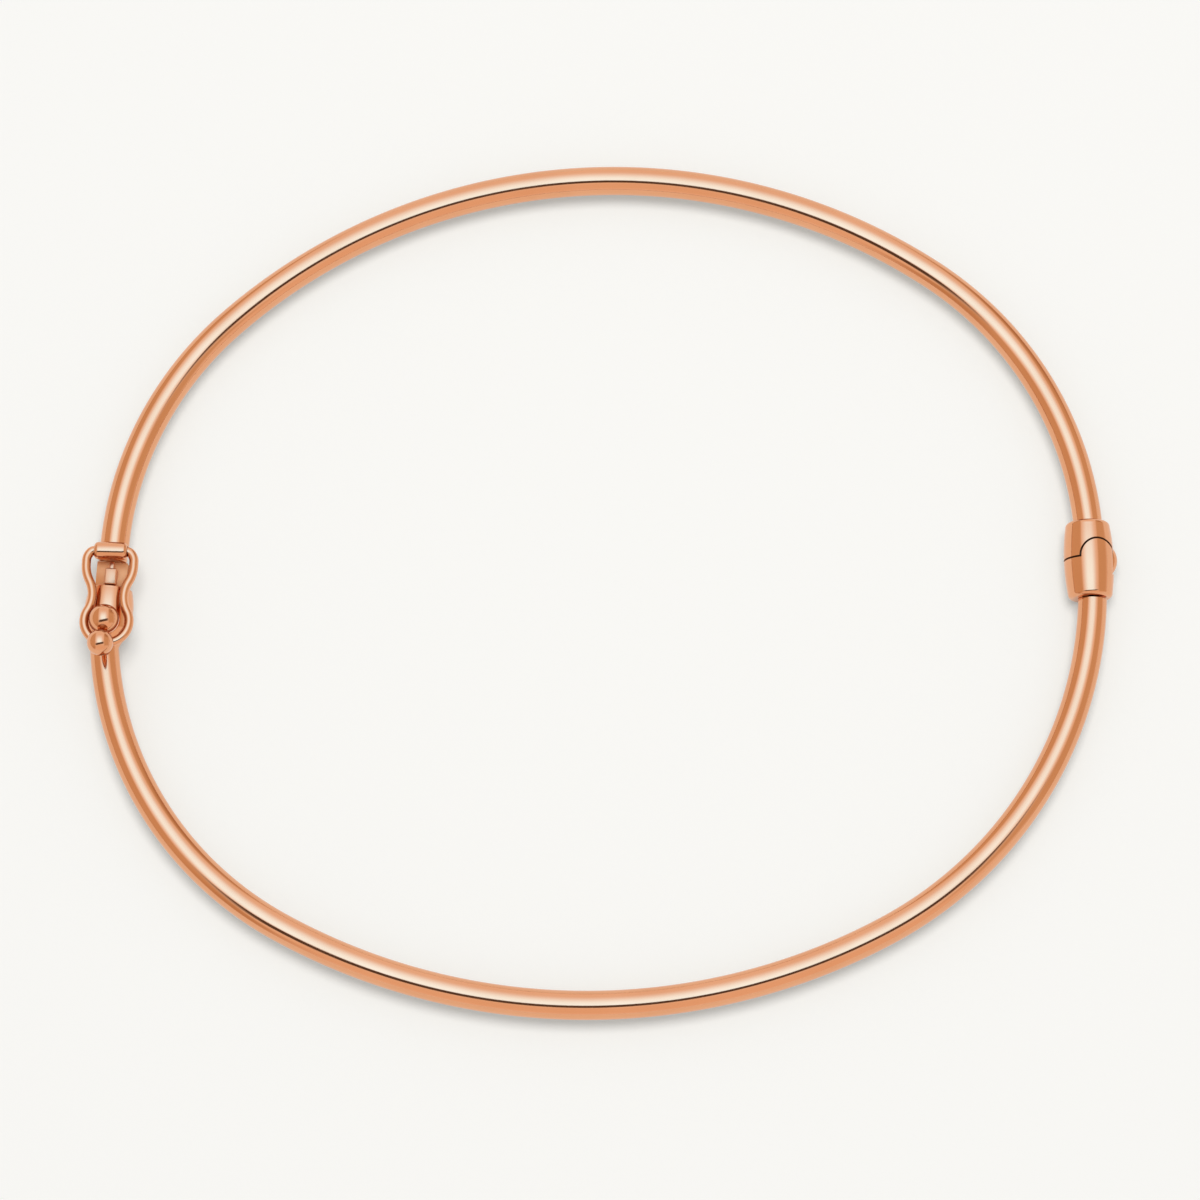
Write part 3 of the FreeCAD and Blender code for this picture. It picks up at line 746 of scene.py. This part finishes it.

# %% [markdown]
# The buffing wheel never reaches the sawn faces inside the hinge, so they stay rough. Their colour is
# darkened as painted shade, which helps the joint between the halves to read as a dark line. A face is a sawn
# one if its middle lies deeper than the barrel's skin at that place along the barrel.

# %% The sawn faces of the hinge
to_barrel = np.array(HINGE.inverted())
for knuckle in (upper_knuckle, lower_knuckle):
    mesh = knuckle.data
    middles = np.empty(len(mesh.polygons) * 3)
    mesh.polygons.foreach_get("center", middles)
    local = middles.reshape(-1, 3) / MM @ to_barrel[:3, :3].T + to_barrel[:3, 3]
    skin = np.interp(local[:, 1], hinge_profile[:, 0], hinge_profile[:, 1])
    depth = skin - np.hypot(local[:, 0], local[:, 2])
    deep_inside = (depth > 0.03) & (abs(local[:, 1]) < HALF - 0.05)
    # the sawn faces get the colour that is darkened as painted shade
    mesh.materials.append(sawn_shade)
    mesh.polygons.foreach_set("material_index", deep_inside.astype(np.int32))
    print(knuckle.name, int(deep_inside.sum()), "sawn faces")

# %% [markdown]
# The table is a sheet of smooth white board that fills the view. In the photo the shadows under the metal
# are soft, short and grey. Two things keep them so. The board glows faintly, as a light table does, which
# lifts the shadows. And it answers light that comes off other surfaces in a cooler tone, because the
# metal would otherwise throw an orange stain on it.

# %% The table
BOARD, BOARD_SECOND = (0.90, 0.89, 0.86), (0.45, 0.85, 1.0)
GLOW, GLOW_STRENGTH = (0.93, 0.97, 1.0), 0.17
REACH = 1.5
board, nodes, links, shader = new_material("white_board")
paths = nodes.new("ShaderNodeLightPath")
second_hand = nodes.new("ShaderNodeMath")
second_hand.operation = "GREATER_THAN"
second_hand.inputs[1].default_value = 0.5
links.new(paths.outputs["Diffuse Depth"], second_hand.inputs[0])
board_tone = nodes.new("ShaderNodeMix")
board_tone.data_type = "RGBA"
board_tone.inputs["A"].default_value = (*BOARD, 1)
board_tone.inputs["B"].default_value = (*BOARD_SECOND, 1)
links.new(second_hand.outputs[0], board_tone.inputs["Factor"])
links.new(board_tone.outputs["Result"], shader.inputs["Base Color"])
shader.inputs["Roughness"].default_value = 0.9
shader.inputs["Specular IOR Level"].default_value = 0.1
shader.inputs["Emission Color"].default_value = (*GLOW, 1)
shader.inputs["Emission Strength"].default_value = GLOW_STRENGTH
table_mesh = bpy.data.meshes.new("table")
table_corners = [(-REACH, -REACH, 0), (REACH, -REACH, 0), (REACH, REACH, 0), (-REACH, REACH, 0)]
table_mesh.from_pydata(table_corners, [], [(0, 1, 2, 3)])
table_mesh.materials.append(board)
table = bpy.data.objects.new("table", table_mesh)
bpy.context.scene.collection.objects.link(table)
print("table", 2 * REACH, "m wide")

# %% [markdown]
# A polished tube is a picture of the studio around it. Here that studio is a bright cloth overhead that
# fades outward, a narrow dark gap under it where the lens looks through, darker walls to both sides and
# pale surroundings. The world shader draws all this as smooth functions of direction. Only reflections see
# it; the table is lit by an even world and one soft lamp overhead, which keeps its shadows short and soft.

# %% Arithmetic for the studio
studio = bpy.data.worlds.new("studio")
bpy.context.scene.world = studio
studio.use_nodes = True
nodes, links = studio.node_tree.nodes, studio.node_tree.links
nodes.clear()


def math_node(operation, *values):
    """A Math node on numbers or sockets."""
    made = nodes.new("ShaderNodeMath")
    made.operation = operation
    for socket_in, value in zip(made.inputs, values):
        if isinstance(value, (int, float)):
            socket_in.default_value = value
        else:
            links.new(value, socket_in)
    return made.outputs[0]


def ramp(value, start, end, low=0.0, high=1.0):
    """A smooth step of a value between start and end."""
    span = nodes.new("ShaderNodeMapRange")
    span.interpolation_type = "SMOOTHSTEP"
    span.inputs["From Min"].default_value = start
    span.inputs["From Max"].default_value = end
    span.inputs["To Min"].default_value = low
    span.inputs["To Max"].default_value = high
    links.new(value, span.inputs["Value"])
    return span.outputs["Result"]


def dot(vector, constant):
    """The dot product of a direction with a fixed vector."""
    made = nodes.new("ShaderNodeVectorMath")
    made.operation = "DOT_PRODUCT"
    links.new(vector, made.inputs[0])
    made.inputs[1].default_value = constant
    return made.outputs["Value"]


print("the studio's world starts with", len(nodes), "nodes")

# %% [markdown]
# The studio is drawn on a flat map. A direction's place on it is how many degrees it lies to the right of
# the lens and above it: the angle away from the lens, shared out by the direction's two sideways parts.

# %% Directions in degrees
direction = nodes.new("ShaderNodeTexCoord").outputs["Generated"]
across = dot(direction, (1, 0, 0))
towards = dot(direction, (0, math.cos(TILT), math.sin(TILT)))
lens = dot(direction, (0, -math.sin(TILT), math.cos(TILT)))
away = math_node("MULTIPLY", math_node("ARCCOSINE", lens), 180 / math.pi)
flat_length = math_node(
    "SQRT", math_node("ADD", math_node("POWER", across, 2), math_node("POWER", towards, 2))
)
share = math_node("DIVIDE", away, math_node("MAXIMUM", flat_length, 1e-4))
u = math_node("MULTIPLY", across, share)  # degrees to the right of the lens
w = math_node("MULTIPLY", towards, share)  # degrees above the lens
print("the map of directions takes", len(nodes), "nodes")

# %% [markdown]
# Three simple tools paint the map: an oval with a soft rim, a band with a soft edge on both sides, and a
# layer that lays a colour over what is already there.

# %% Shapes on the map


def oval(centre_u, centre_w, half_u, half_w, soft):
    """1 inside an oval of the studio's map, falling to 0 over the share soft of its size."""
    a = math_node("POWER", math_node("DIVIDE", math_node("SUBTRACT", u, centre_u), half_u), 2)
    b = math_node("POWER", math_node("DIVIDE", math_node("SUBTRACT", w, centre_w), half_w), 2)
    return ramp(math_node("SQRT", math_node("ADD", a, b)), 1 - soft, 1 + soft, 1.0, 0.0)


def band(value, start, full, fade, end):
    """0 up to start, rising to 1 at full, and falling from fade back to 0 at end."""
    return math_node("MULTIPLY", ramp(value, start, full), ramp(value, fade, end, 1.0, 0.0))


def layer(below, mask, color):
    """Lays a colour over another by a mask."""
    mixed = nodes.new("ShaderNodeMix")
    mixed.data_type = "RGBA"
    mixed.inputs["B"].default_value = (*color, 1)
    links.new(mask, mixed.inputs["Factor"])
    if isinstance(below, tuple):
        mixed.inputs["A"].default_value = (*below, 1)
    else:
        links.new(below, mixed.inputs["A"])
    return mixed.outputs["Result"]


print("a mask is 1 inside its shape and fades to 0 outside")

# %% [markdown]
# The layers were found by asking, for each point of the metal in the photo, from which direction its light
# must come. Bright cloth gives the light stripe along the tubes, the gap gives the dark line beside it, and
# the walls give the brown flanks of the tubes that run up and down the picture.

# %% The walls, the cloth and the gap
left_wall = math_node("MULTIPLY", band(u, -108, -88, -44, -34), band(w, -58, -34, 92, 128))
right_wall = math_node("MULTIPLY", band(u, 34, 44, 76, 96), band(w, -38, -20, 84, 112))
front = oval(8, -44, 58, 24, 0.35)
cloth = math_node("MULTIPLY", band(u, -41, -8, 6, 35), band(w, -6, 4, 8, 80))
gap_place = math_node("ADD", math_node("MULTIPLY", u, 0.21), -7.6)
gap_distance = math_node("ABSOLUTE", math_node("SUBTRACT", w, gap_place))
gap = math_node("MULTIPLY", ramp(gap_distance, 7.0, 10.5, 1.0, 0.0), band(u, -44, -26, 26, 42))
look = layer((0.96, 0.94, 0.94), front, (0.93, 0.80, 0.69))
look = layer(look, left_wall, (0.72, 0.56, 0.40))
look = layer(look, right_wall, (0.72, 0.58, 0.42))
look = layer(look, oval(66, 72, 20, 18, 0.7), (0.50, 0.34, 0.22))
look = layer(look, oval(-52, -44, 13, 16, 0.7), (0.62, 0.44, 0.28))
look = layer(look, cloth, (1.18, 2.12, 3.25))
look = layer(look, gap, (0.10, 0.08, 0.06))
print("with walls, cloth and gap the studio takes", len(nodes), "nodes")

# %% [markdown]
# The Light Path node tells apart who looks at the world. A mirror ray from the lens sees the studio. A
# mirror ray that started at the table sees a cool light, which cancels the orange of the metal on its way
# back. Rays after a second reflection see a dimmer studio, and that deepens the corners where metal faces
# metal. All other rays see an even white that lights the table from every side.

# %% What each ray sees
EVEN_STRENGTH, SECOND_DIMMING = 0.46, 0.45
paths = nodes.new("ShaderNodeLightPath")
look = layer(look, math_node("GREATER_THAN", paths.outputs["Diffuse Depth"], 0.5), (1.10, 2.30, 4.20))
deep = math_node("GREATER_THAN", paths.outputs["Ray Depth"], 2.5)
mirror_light = nodes.new("ShaderNodeBackground")
links.new(look, mirror_light.inputs["Color"])
dimming = math_node("MULTIPLY", deep, SECOND_DIMMING)
links.new(math_node("SUBTRACT", 1.0, dimming), mirror_light.inputs["Strength"])
even_light = nodes.new("ShaderNodeBackground")
even_light.inputs["Color"].default_value = (1.0, 1.0, 1.0, 1)
even_light.inputs["Strength"].default_value = EVEN_STRENGTH
choose = nodes.new("ShaderNodeMixShader")
links.new(paths.outputs["Is Glossy Ray"], choose.inputs[0])
links.new(even_light.outputs[0], choose.inputs[1])
links.new(mirror_light.outputs[0], choose.inputs[2])
output = nodes.new("ShaderNodeOutputWorld")
links.new(choose.outputs[0], output.inputs["Surface"])
print("the whole world takes", len(nodes), "nodes")

# %% [markdown]
# One lamp hangs above and a little behind the bangle, so the shadows fall towards the viewer. It is a wide
# disc, because the size of a lamp decides how soft a shadow's edge is. The metal does not mirror it: the
# cloth on the map already stands for it.

# %% The lamp overhead
LAMP_PLACE = (0.02, 0.06, 0.60)
lamp_data = bpy.data.lights.new("overhead", "AREA")
lamp_data.shape = "DISK"
lamp_data.size = 0.30
lamp_data.energy = 1.60
lamp_data.color = (1.0, 0.985, 0.965)
lamp = bpy.data.objects.new("overhead", lamp_data)
lamp.location = LAMP_PLACE
lamp.rotation_euler = (-math.atan2(LAMP_PLACE[1], LAMP_PLACE[2]), math.atan2(LAMP_PLACE[0], LAMP_PLACE[2]), 0)
lamp.visible_glossy = False
lamp.visible_camera = False
bpy.context.scene.collection.objects.link(lamp)
bpy.context.scene.view_settings.view_transform = "Standard"
print("lamp", lamp_data.size, "m wide at", LAMP_PLACE)
